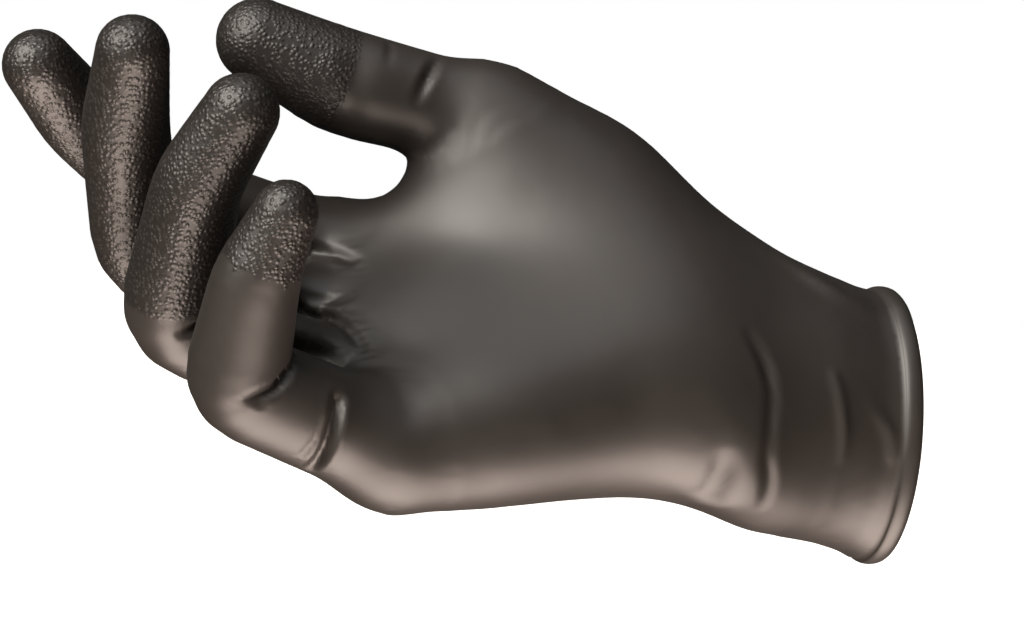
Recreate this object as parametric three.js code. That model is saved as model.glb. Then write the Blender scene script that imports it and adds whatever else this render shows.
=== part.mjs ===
import * as THREE from 'three';

// A film glove in its worn, curled form, made right-handed: one dipped film with a rolled cuff bead.
// Millimetres and degrees. The cuff opens along +X in the plane X = 0, +Z is up, and the palm looks to -Y.

// Film and cuff
const filmWall = 1;
const beadWidth = 4;
const beadHeight = 2.6;
const cuffLength = 29.4;
const cuffBreadth = 57.6;
const cuffDepth = 44;
const wristBreadth = 68;
const wristDepth = 46;
const wristRise = 11.7;
const wristSetback = 3.5;

// Palm
const palmLength = 84;
const palmBreadth = 84;
const palmThickness = 30;

// Fingers, from the knuckle's centre to the centre of the rounded tip, and their width across
const indexLength = 87.8;
const middleLength = 99;
const ringLength = 96;
const littleLength = 75.5;
const thumbLength = 99;
const indexWidth = 18.4;
const middleWidth = 18.6;
const ringWidth = 18.6;
const littleWidth = 18.4;
const thumbWidth = 20.8;
const fingerGap = 3;

// Pose of the worn form
const poseRoll = 45;
const wristBend = -3.5;
const wristTilt = -4;

// Roundness of the joins between forms, and the fineness of the mesh
const palmBlend = 16;
const cuffBlend = 11;
const fingerBlend = 7;
const gapBlend = 3;
const gridStep = 2.4;
const wallFaces = 4300;
const beadSteps = 8;
const rimEdges = 44;

// Knuckle as shares of the palm's length, thickness and breadth; spread, turn and bends in degrees;
// each phalanx as a share of the finger's length; radii as shares of its width.
const fingerRows = [
  { length: indexLength, width: indexWidth, knuckle: [-1, 0.03, 0.293], spread: -1.5, turn: 2,
    bends: [20, 26, 9], phalanges: [0.523, 0.295, 0.182], radii: [0.51, 0.5, 0.475, 0.395] },
  { length: middleLength, width: middleWidth, knuckle: [-1.006, 0.1, 0.057], spread: -4.6, turn: 11,
    bends: [21, 60, 10], phalanges: [0.504, 0.32, 0.176], radii: [0.5, 0.505, 0.475, 0.39] },
  { length: ringLength, width: ringWidth, knuckle: [-0.967, 0.033, -0.175], spread: -5.6, turn: 15,
    bends: [23, 73, 19], phalanges: [0.491, 0.327, 0.182], radii: [0.52, 0.57, 0.475, 0.405] },
  { length: littleLength, width: littleWidth, knuckle: [-0.929, -0.133, -0.401], spread: -10.2, turn: 20,
    bends: [28, 70, 13], phalanges: [0.504, 0.301, 0.195], radii: [0.62, 0.57, 0.47, 0.345] },
];

// The thumb's three bones: how far each dips towards the palm and turns away from the fingers, in degrees.
const thumbRow = {
  root: [-0.226, -0.34, 0.295],
  dips: [19.7, 11.3, 16.9],
  turns: [24.3, 0.8, 13.2],
  bones: [0.464, 0.331, 0.203],
  radii: [0.5, 0.55, 0.43],
};

// Bulk of the palm as bars with rounded ends, in shares of its length, thickness and breadth;
// a name stands for a joint of the skeleton, and radii are shares of the thickness.
const palmRows = [
  { from: [-0.24, 0, 0.143], to: 'index', fromRadius: 0.6, toRadius: 0.38 },
  { from: [-0.24, 0.03, 0.036], to: 'middle', fromRadius: 0.6, toRadius: 0.41 },
  { from: [-0.24, 0, -0.071], to: 'ring', fromRadius: 0.6, toRadius: 0.41 },
  { from: [-0.24, -0.03, -0.125], to: 'little', fromRadius: 0.55, toRadius: 0.39 },
  { from: [-0.29, -0.17, -0.17], to: [-0.71, -0.2, -0.34], fromRadius: 0.46, toRadius: 0.39 },
  { from: [-0.14, -0.2, 0.2], to: [-0.405, -0.37, 0.357], fromRadius: 0.47, toRadius: 0.53 },
  { from: [-0.405, -0.37, 0.357], to: 'thumb', fromRadius: 0.53, toRadius: 0.31 },
  { from: [-0.5, -0.52, 0.405], to: [-0.62, -0.74, 0.46], fromRadius: 0.47, toRadius: 0.36 },
  { from: [-0.357, -0.3, 0.167], to: [-0.655, -0.3, 0.262], fromRadius: 0.47, toRadius: 0.43 },
  { from: [-0.3, -0.2, 0], to: [-0.8, -0.12, -0.04], fromRadius: 0.5, toRadius: 0.42 },
  { from: [-0.69, -0.07, 0.298], to: [-0.665, -0.66, 0.42], fromRadius: 0.27, toRadius: 0.27 },
  { from: [-0.85, -0.35, 0.315], to: [-0.8, -0.57, 0.323], fromRadius: 0.02, toRadius: 0.01 },
];

// Folds of the film along lines in the palm's shares; width and depth are shares of the palm's thickness,
// and a depth below zero lifts the film instead of sinking it.
const foldRows = [
  { place: 'palm under index', width: 0.08, depth: 0.05,
    line: [[-1.118, -0.293, 0.178], [-1.073, -0.334, 0.138], [-1.022, -0.361, 0.103]] },
  { place: 'palm under middle', width: 0.09, depth: 0.06,
    line: [[-1.16, -0.26, -0.02], [-1.112, -0.285, -0.04], [-1.058, -0.424, -0.124], [-1.001, -0.447, -0.207]] },
  { place: 'palm under ring', width: 0.12, depth: 0.11,
    line: [[-1.18, -0.46, -0.22], [-1.122, -0.444, -0.218], [-1.077, -0.63, -0.35]] },
  { place: 'web of the little finger', width: 0.08, depth: 0.09,
    line: [[-1.08, -0.7, -0.38], [-1.108, -0.714, -0.447], [-1.112, -0.646, -0.482], [-1.13, -0.45, -0.515]] },
  { place: 'little finger bend', width: 0.07, depth: 0.08,
    line: [[-1.322, -0.833, -0.497], [-1.262, -0.891, -0.473], [-1.228, -0.915, -0.422]] },
  { place: 'ring finger bend', width: 0.08, depth: 0.08,
    line: [[-1.465, -0.719, -0.26], [-1.427, -0.745, -0.245], [-1.4, -0.7, -0.2]] },
  { place: 'heel of the palm', width: 0.24, depth: 0.05,
    line: [[-0.926, -0.566, -0.315], [-0.924, -0.591, -0.423], [-0.931, -0.499, -0.488]] },
  { place: 'thumb joint', width: 0.12, depth: 0.05,
    line: [[-0.853, -1.31, 0.511], [-0.88, -1.298, 0.467], [-0.905, -1.206, 0.419]] },
  { place: 'wrist, palm side', width: 0.14, depth: 0.05,
    line: [[-0.145, -0.4, -0.37], [-0.14, -0.2, -0.41], [-0.149, -0.02, -0.425]] },
  { place: 'wrist swell', width: 0.3, depth: -0.05,
    line: [[-0.08, -0.3, -0.38], [-0.08, 0.05, -0.41]] },
  { place: 'cuff inner fold', width: 0.12, depth: 0.05,
    line: [[-0.045, -0.68, -0.15], [0, -0.5, -0.27], [0.01, -0.24, -0.37], [0.03, 0.1, -0.41]] },
  { place: 'cuff middle ridge', width: 0.1, depth: -0.04,
    line: [[0.19, -0.476, -0.171], [0.215, -0.333, -0.244], [0.22, -0.123, -0.319]] },
  { place: 'cuff upper ridge', width: 0.14, depth: -0.05,
    line: [[0.1, -0.64, 0.16], [0.22, -0.58, 0.1], [0.3, -0.54, 0.04]] },
];

// Sections of the cuff from the rim inwards: place and drift as shares of the cuff's length and of the
// wrist's offset, and the turn as a share of the pose's roll.
const cuffRows = [
  { along: 0, drift: 0, breadth: cuffBreadth, depth: cuffDepth, turn: 0.11 },
  { along: 0.5, drift: 0.36, breadth: 0.89 * wristBreadth, depth: 1.02 * wristDepth, turn: 0.4 },
  { along: 1.02, drift: 0.56, breadth: wristBreadth, depth: wristDepth, turn: 0.84 },
  { along: 1.48, drift: 0.94, breadth: 0.96 * wristBreadth, depth: 0.83 * wristDepth, turn: 1 },
  { along: 1.98, drift: 1.2, breadth: 0.7 * wristBreadth, depth: 0.48 * wristDepth, turn: 1 },
];

const radians = THREE.MathUtils.degToRad;
const mix = THREE.MathUtils.lerp;
const clamp = THREE.MathUtils.clamp;

// Palm frame: X towards the cuff, Y to the back of the glove, Z to the thumb, from the wrist's centre
const palmFrame = new THREE.Matrix4()
  .makeTranslation(-cuffLength, -wristSetback, wristRise)
  .multiply(new THREE.Matrix4().makeRotationX(-radians(poseRoll)))
  .multiply(new THREE.Matrix4().makeRotationY(-radians(wristTilt)))
  .multiply(new THREE.Matrix4().makeRotationZ(radians(wristBend)));

function palmPoint([x, y, z]) {
  return new THREE.Vector3(x * palmLength, y * palmThickness, z * palmBreadth);
}

// Centres of a finger's joints: each bend adds to the last, in the plane that the turn gives
function fingerJoints(row) {
  const spread = radians(row.spread);
  const turn = radians(row.turn);
  const ahead = new THREE.Vector3(-Math.cos(spread), 0, Math.sin(spread));
  const inward = new THREE.Vector3(Math.sin(spread), 0, Math.cos(spread)).multiplyScalar(Math.sin(turn));
  inward.y = -Math.cos(turn);
  const joints = [palmPoint(row.knuckle)];
  let bend = 0;
  row.bends.forEach((angle, i) => {
    bend += radians(angle);
    const step = row.phalanges[i] * row.length;
    joints.push(joints[i].clone()
      .addScaledVector(ahead, step * Math.cos(bend))
      .addScaledVector(inward, step * Math.sin(bend)));
  });
  return joints;
}

function thumbJoints(row) {
  const joints = [palmPoint(row.root)];
  row.dips.forEach((dip, i) => {
    const fall = radians(dip);
    const turn = radians(row.turns[i]);
    const way = new THREE.Vector3(-Math.cos(fall) * Math.cos(turn), -Math.sin(fall), Math.cos(fall) * Math.sin(turn));
    joints.push(joints[i].clone().addScaledVector(way, row.bones[i] * thumbLength));
  });
  return joints;
}

// A centre line whose corners are rounded by short parabolas, with a radius at each point
function roundedLine(joints, radii) {
  const cornerShare = 0.24;
  const cornerSteps = 3;
  const line = [{ at: joints[0], radius: radii[0] }];
  for (let i = 1; i < joints.length - 1; i++) {
    const before = joints[i - 1].distanceTo(joints[i]);
    const after = joints[i].distanceTo(joints[i + 1]);
    const reach = cornerShare * Math.min(before, after);
    const start = joints[i].clone().lerp(joints[i - 1], reach / before);
    const end = joints[i].clone().lerp(joints[i + 1], reach / after);
    const startRadius = mix(radii[i], radii[i - 1], reach / before);
    const endRadius = mix(radii[i], radii[i + 1], reach / after);
    for (let k = 0; k <= cornerSteps; k++) {
      const t = k / cornerSteps;
      line.push({
        at: start.clone().lerp(joints[i], t).lerp(joints[i].clone().lerp(end, t), t),
        radius: mix(mix(startRadius, radii[i], t), mix(radii[i], endRadius, t), t),
      });
    }
  }
  line.push({ at: joints[joints.length - 1], radius: radii[radii.length - 1] });
  return line;
}

// A bar is a straight core with a radius at each end
function bar(from, to, fromRadius, toRadius) {
  const a = from.clone().applyMatrix4(palmFrame);
  const span = to.clone().applyMatrix4(palmFrame).sub(a);
  return { a, span, perSquare: 1 / span.lengthSq(), fromRadius, growth: toRadius - fromRadius };
}

function barDistance({ a, span, perSquare, fromRadius, growth }, x, y, z) {
  const dx = x - a.x;
  const dy = y - a.y;
  const dz = z - a.z;
  const t = clamp((dx * span.x + dy * span.y + dz * span.z) * perSquare, 0, 1);
  const ex = dx - t * span.x;
  const ey = dy - t * span.y;
  const ez = dz - t * span.z;
  return Math.sqrt(ex * ex + ey * ey + ez * ez) - fromRadius - t * growth;
}

function lineBars(line) {
  return line.slice(1).map((point, i) => bar(line[i].at, point.at, line[i].radius, point.radius));
}

const fingerLines = fingerRows.map((row) => ({
  joints: fingerJoints(row),
  radii: row.radii.map((share) => share * row.width),
}));
const thumbLine = thumbJoints(thumbRow);
const digits = fingerLines.map(({ joints, radii }) => lineBars(roundedLine(joints, radii)));
digits.push(lineBars(roundedLine(thumbLine.slice(1), thumbRow.radii.map((share) => share * thumbWidth))));

const namedJoints = {
  index: fingerLines[0].joints[0],
  middle: fingerLines[1].joints[0],
  ring: fingerLines[2].joints[0],
  little: fingerLines[3].joints[0],
  thumb: thumbLine[1],
};
const palmBars = palmRows.map(({ from, to, fromRadius, toRadius }) => bar(
  palmPoint(from), namedJoints[to] ?? palmPoint(to), fromRadius * palmThickness, toRadius * palmThickness));

const foldBars = foldRows.map(({ line, width, depth }) => ({
  pieces: lineBars(line.map((share) => ({ at: palmPoint(share), radius: 0 }))),
  width: width * palmThickness,
  depth: depth * palmThickness,
}));

// How far the folds sink the film at a point: each falls off as a bell curve from its line
function foldDepth(x, y, z) {
  const reach = 2.5;
  let sum = 0;
  for (const { pieces, width, depth } of foldBars) {
    const away = Math.min(...pieces.map((piece) => barDistance(piece, x, y, z))) / width;
    if (away < reach) sum += depth * Math.exp(-away * away);
  }
  return sum;
}

// Smooth lesser and smooth greater of two distances, rounded over the reach
function smoothLesser(p, q, reach) {
  const h = Math.max(reach - Math.abs(p - q), 0) / reach;
  return Math.min(p, q) - h * h * reach / 4;
}

function smoothGreater(p, q, reach) {
  return -smoothLesser(-p, -q, reach);
}

// A value carried smoothly through the rows: cubic pieces whose slopes come from the neighbours
function smoothThrough(places, values, x) {
  const last = places.length - 1;
  if (x <= places[0]) return values[0];
  if (x >= places[last]) return values[last];
  let i = 0;
  while (x > places[i + 1]) i++;
  const slope = (k) => {
    const p = Math.max(k - 1, 0);
    const n = Math.min(k + 1, last);
    return (values[n] - values[p]) / (places[n] - places[p]);
  };
  const width = places[i + 1] - places[i];
  const t = (x - places[i]) / width;
  const s = 1 - t;
  return s * s * (1 + 2 * t) * values[i] + t * t * (3 - 2 * t) * values[i + 1]
    + t * s * s * width * slope(i) - t * t * s * width * slope(i + 1);
}

// Each section is an ellipse, held as its spread along Y, along Z and between them
const cuffPlaces = cuffRows.map((row) => row.along * cuffLength);
const cuffEnd = cuffPlaces[cuffPlaces.length - 1];
const cuffSpreads = cuffRows.map(({ drift, breadth, depth, turn }) => {
  const c = Math.cos(radians(turn * poseRoll));
  const s = Math.sin(radians(turn * poseRoll));
  const wide = breadth * breadth / 4;
  const deep = depth * depth / 4;
  return {
    y: -drift * wristSetback, z: drift * wristRise,
    yy: wide * s * s + deep * c * c, zz: wide * c * c + deep * s * s, yz: (wide - deep) * c * s,
  };
});
const cuffColumn = Object.fromEntries(['y', 'z', 'yy', 'zz', 'yz'].map(
  (key) => [key, cuffSpreads.map((spread) => spread[key])]));

function cuffDistance(x, y, z) {
  const at = (key) => smoothThrough(cuffPlaces, cuffColumn[key], -x);
  const dy = y - at('y');
  const dz = z - at('z');
  const yy = at('yy');
  const zz = at('zz');
  const yz = at('yz');
  const area = yy * zz - yz * yz;
  const ratio = Math.sqrt(Math.max(zz * dy * dy - 2 * yz * dy * dz + yy * dz * dz, 0) / area);
  return Math.max((ratio - 1) * Math.pow(area, 0.25), -x - cuffEnd);
}

// Signed distance to the film's outer face, about: below zero inside the glove's form
function field(x, y, z) {
  let body = Infinity;
  for (const piece of palmBars) {
    const distance = barDistance(piece, x, y, z);
    body = body === Infinity ? distance : smoothLesser(body, distance, palmBlend);
  }
  if (-x < cuffEnd + cuffBlend) body = smoothLesser(body, cuffDistance(x, y, z), cuffBlend);
  let near = Infinity;
  let next = Infinity;
  for (const pieces of digits) {
    let distance = Infinity;
    for (const piece of pieces) distance = Math.min(distance, barDistance(piece, x, y, z));
    next = Math.min(next, Math.max(near, distance));
    near = Math.min(near, distance);
  }
  const apart = smoothGreater(near, (fingerGap - (next - near)) / 2, gapBlend);
  return smoothLesser(body, apart, fingerBlend) + foldDepth(x, y, z);
}

// Direction in which the field grows; in the rim's layer it lies in the plane of the rim
const probe = 0.25;

function outward(point, onRim) {
  const { x, y, z } = point;
  return new THREE.Vector3(
    onRim ? 0 : field(x + probe, y, z) - field(x - probe, y, z),
    field(x, y + probe, z) - field(x, y - probe, z),
    field(x, y, z + probe) - field(x, y, z - probe)).multiplyScalar(0.5 / probe);
}

// Field values on a grid whose last layer of cells is centred on the rim's plane
function sampledGrid() {
  const pieces = [...palmBars, ...digits.flat()];
  const box = new THREE.Box3();
  const margin = 2 * gridStep + palmBlend / 4;
  for (const { a, span, fromRadius, growth } of pieces) {
    const reach = Math.max(fromRadius, fromRadius + growth) + margin;
    box.expandByPoint(a.clone().addScalar(reach)).expandByPoint(a.clone().subScalar(reach));
    const b = a.clone().add(span);
    box.expandByPoint(b.clone().addScalar(reach)).expandByPoint(b.clone().subScalar(reach));
  }
  const rimReach = Math.max(cuffBreadth, cuffDepth) / 2 + margin;
  box.expandByPoint(new THREE.Vector3(0, rimReach, rimReach)).expandByPoint(new THREE.Vector3(0, -rimReach, -rimReach));
  const count = [
    Math.ceil(-box.min.x / gridStep) + 1,
    Math.ceil((box.max.y - box.min.y) / gridStep) + 1,
    Math.ceil((box.max.z - box.min.z) / gridStep) + 1,
  ];
  const start = new THREE.Vector3((1.5 - count[0]) * gridStep, box.min.y, box.min.z);
  const values = new Float64Array(count[0] * count[1] * count[2]);
  let n = 0;
  for (let i = 0; i < count[0]; i++) {
    const x = Math.min(start.x + i * gridStep, -gridStep / 2);
    for (let j = 0; j < count[1]; j++) {
      for (let k = 0; k < count[2]; k++) values[n++] = field(x, start.y + j * gridStep, start.z + k * gridStep);
    }
  }
  return { start, count, values, strides: [count[1] * count[2], count[2], 1] };
}

// The eight corners of a grid cell, as steps along the three axes
const cellCorners = [...Array(8).keys()].map((c) => [c & 1, (c >> 1) & 1, c >> 2]);

// Two inner corners that only meet across a square or a cell would pinch the film: the shallower goes outside
function clearDoubts({ count, values, strides }) {
  const squares = [[0, 1, 3, 2], [0, 1, 5, 4], [0, 2, 6, 4]];
  for (let changed = true; changed;) {
    changed = false;
    for (let i = 0; i < count[0] - 1; i++) {
      for (let j = 0; j < count[1] - 1; j++) {
        for (let k = 0; k < count[2] - 1; k++) {
          const id = i * strides[0] + j * strides[1] + k;
          const ids = cellCorners.map((s) => id + s[0] * strides[0] + s[1] * strides[1] + s[2]);
          const inner = ids.filter((corner) => values[corner] < 0);
          if (inner.length === 0 || inner.length === 8) continue;
          let pair = squares.map((square) => square.map((c) => ids[c]).filter((corner) => values[corner] < 0))
            .find(([p, q], n) => q !== undefined && isDiagonal(squares[n].map((c) => values[ids[c]] < 0)));
          if (!pair && inner.length === 2 && ids.indexOf(inner[0]) + ids.indexOf(inner[1]) === 7) pair = inner;
          if (pair) {
            values[values[pair[0]] > values[pair[1]] ? pair[0] : pair[1]] = probe;
            changed = true;
          }
        }
      }
    }
  }
}

function isDiagonal([a, b, c, d]) {
  return a === c && b === d && a !== b;
}

// One point in each grid cell that the surface crosses, joined round each crossed grid edge
function surfaceNet({ start, count, values, strides }) {
  const cellIds = new Int32Array(values.length).fill(-1);
  const points = [];
  const onRim = [];
  const ends = [[0, 1], [0, 2], [0, 4], [1, 3], [1, 5], [2, 3], [2, 6], [3, 7], [4, 5], [4, 6], [5, 7], [6, 7]];
  for (let i = 0; i < count[0] - 1; i++) {
    for (let j = 0; j < count[1] - 1; j++) {
      for (let k = 0; k < count[2] - 1; k++) {
        const id = i * strides[0] + j * strides[1] + k;
        const corner = cellCorners.map((s) => values[id + s[0] * strides[0] + s[1] * strides[1] + s[2]]);
        const crossed = ends.filter(([p, q]) => (corner[p] < 0) !== (corner[q] < 0));
        if (crossed.length === 0) continue;
        const sum = new THREE.Vector3();
        for (const [p, q] of crossed) {
          const t = corner[p] / (corner[p] - corner[q]);
          sum.add(new THREE.Vector3(...cellCorners[p]).lerp(new THREE.Vector3(...cellCorners[q]), t));
        }
        const point = sum.divideScalar(crossed.length).add(new THREE.Vector3(i, j, k))
          .multiplyScalar(gridStep).add(start);
        const rim = i === count[0] - 2;
        if (rim) point.x = 0;
        cellIds[id] = points.length;
        points.push(point);
        onRim.push(rim);
      }
    }
  }
  const faces = [];
  for (let axis = 0; axis < 3; axis++) {
    const u = (axis + 1) % 3;
    const v = (axis + 2) % 3;
    for (let i = 0; i < count[0] - (axis === 0); i++) {
      for (let j = 0; j < count[1] - (axis === 1); j++) {
        for (let k = 0; k < count[2] - (axis === 2); k++) {
          const at = [i, j, k];
          const id = i * strides[0] + j * strides[1] + k;
          const inside = values[id] < 0;
          if (inside === values[id + strides[axis]] < 0) continue;
          if (at[u] < 1 || at[v] < 1 || at[u] > count[u] - 2 || at[v] > count[v] - 2) continue;
          const ring = [
            cellIds[id - strides[u] - strides[v]], cellIds[id - strides[v]], cellIds[id], cellIds[id - strides[u]],
          ];
          if (!inside) ring.reverse();
          faces.push([ring[0], ring[1], ring[2]], [ring[0], ring[2], ring[3]]);
        }
      }
    }
  }
  return { points, onRim, faces };
}

// Each point slides along the field's slope until it lies on the film's face
function settle({ points, onRim }) {
  const rounds = 4;
  points.forEach((point, i) => {
    for (let round = 0; round < rounds; round++) {
      const probed = point.clone();
      probed.x = Math.min(probed.x, -gridStep / 2);
      const slope = outward(probed, onRim[i]);
      const gap = field(probed.x, probed.y, probed.z);
      point.addScaledVector(slope, clamp(-gap / Math.max(slope.lengthSq(), probe), -gridStep / 2, gridStep / 2));
    }
  });
}

// Error of a point as its squared distances to the planes of the faces met so far, summed
function planeError(n, d, weight) {
  return [n.x * n.x, n.x * n.y, n.x * n.z, n.x * d, n.y * n.y, n.y * n.z, n.y * d, n.z * n.z, n.z * d, d * d]
    .map((term) => term * weight);
}

function errorAt(q, { x, y, z }) {
  return q[0] * x * x + 2 * q[1] * x * y + 2 * q[2] * x * z + 2 * q[3] * x + q[4] * y * y
    + 2 * q[5] * y * z + 2 * q[6] * y + q[7] * z * z + 2 * q[8] * z + q[9];
}

function faceNormal(points, [a, b, c]) {
  const side = points[b].clone().sub(points[a]);
  return side.cross(points[c].clone().sub(points[a]));
}

// Thins the mesh: points whose loss changes the form least are drawn into a neighbour, flat parts first
function thinned({ points, onRim, faces }) {
  const lengthWeight = 0.002;
  const leastTurn = 0.5;
  const shareEachRound = 0.2;
  const errors = points.map(() => new Array(10).fill(0));
  const around = points.map(() => new Set());
  faces.forEach((face, f) => {
    const normal = faceNormal(points, face);
    const area = normal.length() / 2;
    normal.normalize();
    const error = planeError(normal, -normal.dot(points[face[0]]), area);
    for (const corner of face) {
      error.forEach((term, k) => { errors[corner][k] += term; });
      around[corner].add(f);
    }
  });
  let faceCount = faces.length;
  let rimCount = onRim.filter(Boolean).length;

  const neighbours = (p) => new Set([...around[p]].flatMap((f) => faces[f]).filter((q) => q !== p));
  const cost = (p, q) => {
    const sum = errors[p].map((term, k) => term + errors[q][k]);
    return errorAt(sum, points[q]) + lengthWeight * points[p].distanceToSquared(points[q]) ** 2;
  };
  const allowed = (p, q) => {
    const shared = [...around[p]].filter((f) => faces[f].includes(q));
    if (onRim[p] && (!onRim[q] || shared.length !== 1)) return false;
    const others = neighbours(q);
    if ([...neighbours(p)].filter((r) => others.has(r)).length !== shared.length) return false;
    return [...around[p]].every((f) => {
      if (faces[f].includes(q)) return true;
      const before = faceNormal(points, faces[f]).normalize();
      const after = faceNormal(points, faces[f].map((corner) => (corner === p ? q : corner)));
      return after.length() > probe && before.dot(after.normalize()) > leastTurn;
    });
  };

  while (faceCount > wallFaces) {
    const moves = [];
    around.forEach((set, p) => {
      if (set.size === 0 || (onRim[p] && rimCount <= rimEdges)) return;
      let best = null;
      for (const q of neighbours(p)) {
        const price = cost(p, q);
        if ((best === null || price < best.price) && allowed(p, q)) best = { p, q, price };
      }
      if (best) moves.push(best);
    });
    moves.sort((m, n) => m.price - n.price);
    const touched = new Set();
    const quota = Math.max(Math.ceil(moves.length * shareEachRound), 1);
    let done = 0;
    for (const { p, q } of moves) {
      if (done >= quota || faceCount <= wallFaces) break;
      const ring = neighbours(p);
      if (touched.has(p) || [...ring].some((r) => touched.has(r))) continue;
      if (onRim[p] && rimCount <= rimEdges) continue;
      for (const f of around[p]) {
        if (faces[f].includes(q)) {
          for (const corner of faces[f]) if (corner !== p) around[corner].delete(f);
          faces[f] = null;
          faceCount -= 1;
        } else {
          faces[f] = faces[f].map((corner) => (corner === p ? q : corner));
          around[q].add(f);
        }
      }
      errors[q] = errors[q].map((term, k) => term + errors[p][k]);
      around[p].clear();
      if (onRim[p]) rimCount -= 1;
      touched.add(p);
      for (const r of ring) touched.add(r);
      done += 1;
    }
    if (done === 0) break;
  }

  const kept = points.map((point, p) => p).filter((p) => around[p].size > 0);
  const renamed = new Map(kept.map((p, i) => [p, i]));
  return {
    points: kept.map((p) => points[p]),
    onRim: kept.map((p) => onRim[p]),
    faces: faces.filter(Boolean).map((face) => face.map((p) => renamed.get(p))),
  };
}

// Section of the rolled bead, as [along X, away from the film]: an arc from the outer face round to the inner
function beadSection() {
  const halfWidth = beadWidth / 2;
  const halfHeight = beadHeight / 2;
  const rise = halfHeight - filmWall;
  const from = Math.PI + Math.asin(rise / halfHeight);
  const to = -Math.PI / 2;
  const centre = -halfWidth * Math.cos(from);
  return Array.from({ length: beadSteps }, (_, k) => {
    const angle = mix(from, to, (k + 1) / beadSteps);
    return [centre + halfWidth * Math.cos(angle), rise + halfHeight * Math.sin(angle)];
  });
}

// The outer face, the inner face one wall beneath it, and the bead that joins their rims
function gloveGeometry() {
  const grid = sampledGrid();
  clearDoubts(grid);
  const net = surfaceNet(grid);
  settle(net);
  const { points, onRim, faces } = thinned(net);
  const outwards = points.map((point, i) => {
    const probed = point.clone();
    probed.x = Math.min(probed.x, -gridStep / 2);
    return outward(probed, onRim[i]).normalize();
  });
  const vertices = [...points, ...points.map((point, i) => point.clone().addScaledVector(outwards[i], -filmWall))];
  const shell = [...faces, ...faces.map(([a, b, c]) => [a + points.length, c + points.length, b + points.length])];

  const used = new Set(faces.flatMap(([a, b, c]) => [`${a} ${b}`, `${b} ${c}`, `${c} ${a}`]));
  const rim = [...used].map((edge) => edge.split(' ').map(Number)).filter(([a, b]) => !used.has(`${b} ${a}`));
  const rows = new Map(rim.map(([a]) => [a, [a]]));
  for (const [along, away] of beadSection()) {
    for (const [start, row] of rows) {
      row.push(vertices.length);
      const point = points[start].clone().addScaledVector(outwards[start], away);
      point.x += along;
      vertices.push(point);
    }
  }
  for (const [start, row] of rows) row.push(start + points.length);
  for (const [a, b] of rim) {
    const left = rows.get(a);
    const right = rows.get(b);
    for (let k = 0; k < left.length - 1; k++) {
      shell.push([right[k], left[k], left[k + 1]], [right[k], left[k + 1], right[k + 1]]);
    }
  }
  const geometry = new THREE.BufferGeometry();
  geometry.setAttribute('position', new THREE.Float32BufferAttribute(vertices.flatMap((v) => v.toArray()), 3));
  geometry.setIndex(shell.flat());
  geometry.computeVertexNormals();
  return geometry;
}

const glove = new THREE.Mesh(
  gloveGeometry(),
  new THREE.MeshStandardMaterial({ color: 0x4a4641, roughness: 0.5, metalness: 0 }));
glove.name = 'glove';

const part = new THREE.Group();
part.add(glove);
export default part;
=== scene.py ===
import bpy
import numpy as np
from mathutils import Matrix


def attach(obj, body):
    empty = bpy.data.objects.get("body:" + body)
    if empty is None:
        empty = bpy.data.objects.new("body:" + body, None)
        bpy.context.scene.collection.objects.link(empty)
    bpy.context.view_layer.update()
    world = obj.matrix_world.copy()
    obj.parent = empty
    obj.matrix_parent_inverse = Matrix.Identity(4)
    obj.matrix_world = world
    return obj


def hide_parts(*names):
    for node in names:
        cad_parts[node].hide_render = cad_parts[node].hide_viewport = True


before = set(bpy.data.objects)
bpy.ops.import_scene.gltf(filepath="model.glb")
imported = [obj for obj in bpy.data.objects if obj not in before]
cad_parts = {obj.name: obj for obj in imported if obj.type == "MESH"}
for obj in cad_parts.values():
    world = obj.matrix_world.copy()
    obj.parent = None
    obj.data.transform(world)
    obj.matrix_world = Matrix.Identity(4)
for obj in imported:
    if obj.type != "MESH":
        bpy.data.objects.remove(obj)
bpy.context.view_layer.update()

# A nitrile exam glove in its worn, curled form: one thin film with a rolled bead round the open cuff.
# Shapes are worked out in millimetres, the cuff opening along +X in the plane X = 0, and meshed in metres.

gloveForm = {
    "film": 1.0,               # wall, mm
    "beadWidth": 4.2, "beadHeight": 1.9, "rimLift": 0.7, "rimLiftReach": 2.6,
    "cuffLength": 29.4, "cuffBreadth": 57.6, "cuffDepth": 44.0,
    "wristBreadth": 68.0, "wristDepth": 46.0, "wristRise": 11.7, "wristSetback": 3.5,
    "palmLength": 84.0, "palmBreadth": 84.0, "palmThickness": 30.0,
    "thumbLength": 99.0, "thumbWidth": 20.8,
    "fingerGap": 3.0,
    "roll": 45.0, "wristBend": -3.5, "wristTilt": -4.0,
    "palmBlend": 16.0, "cuffBlend": 11.0, "fingerBlend": 7.0, "gapBlend": 3.0,
    "gridStep": 1.45,          # mesh spacing, mm; halved along the finer folds
    "settleRounds": 4,
    "smoothRounds": 90, "smoothRegain": 0.7,   # evens out the palm, and gives back what that takes, mm
    "beadSteps": 14,
}

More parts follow.
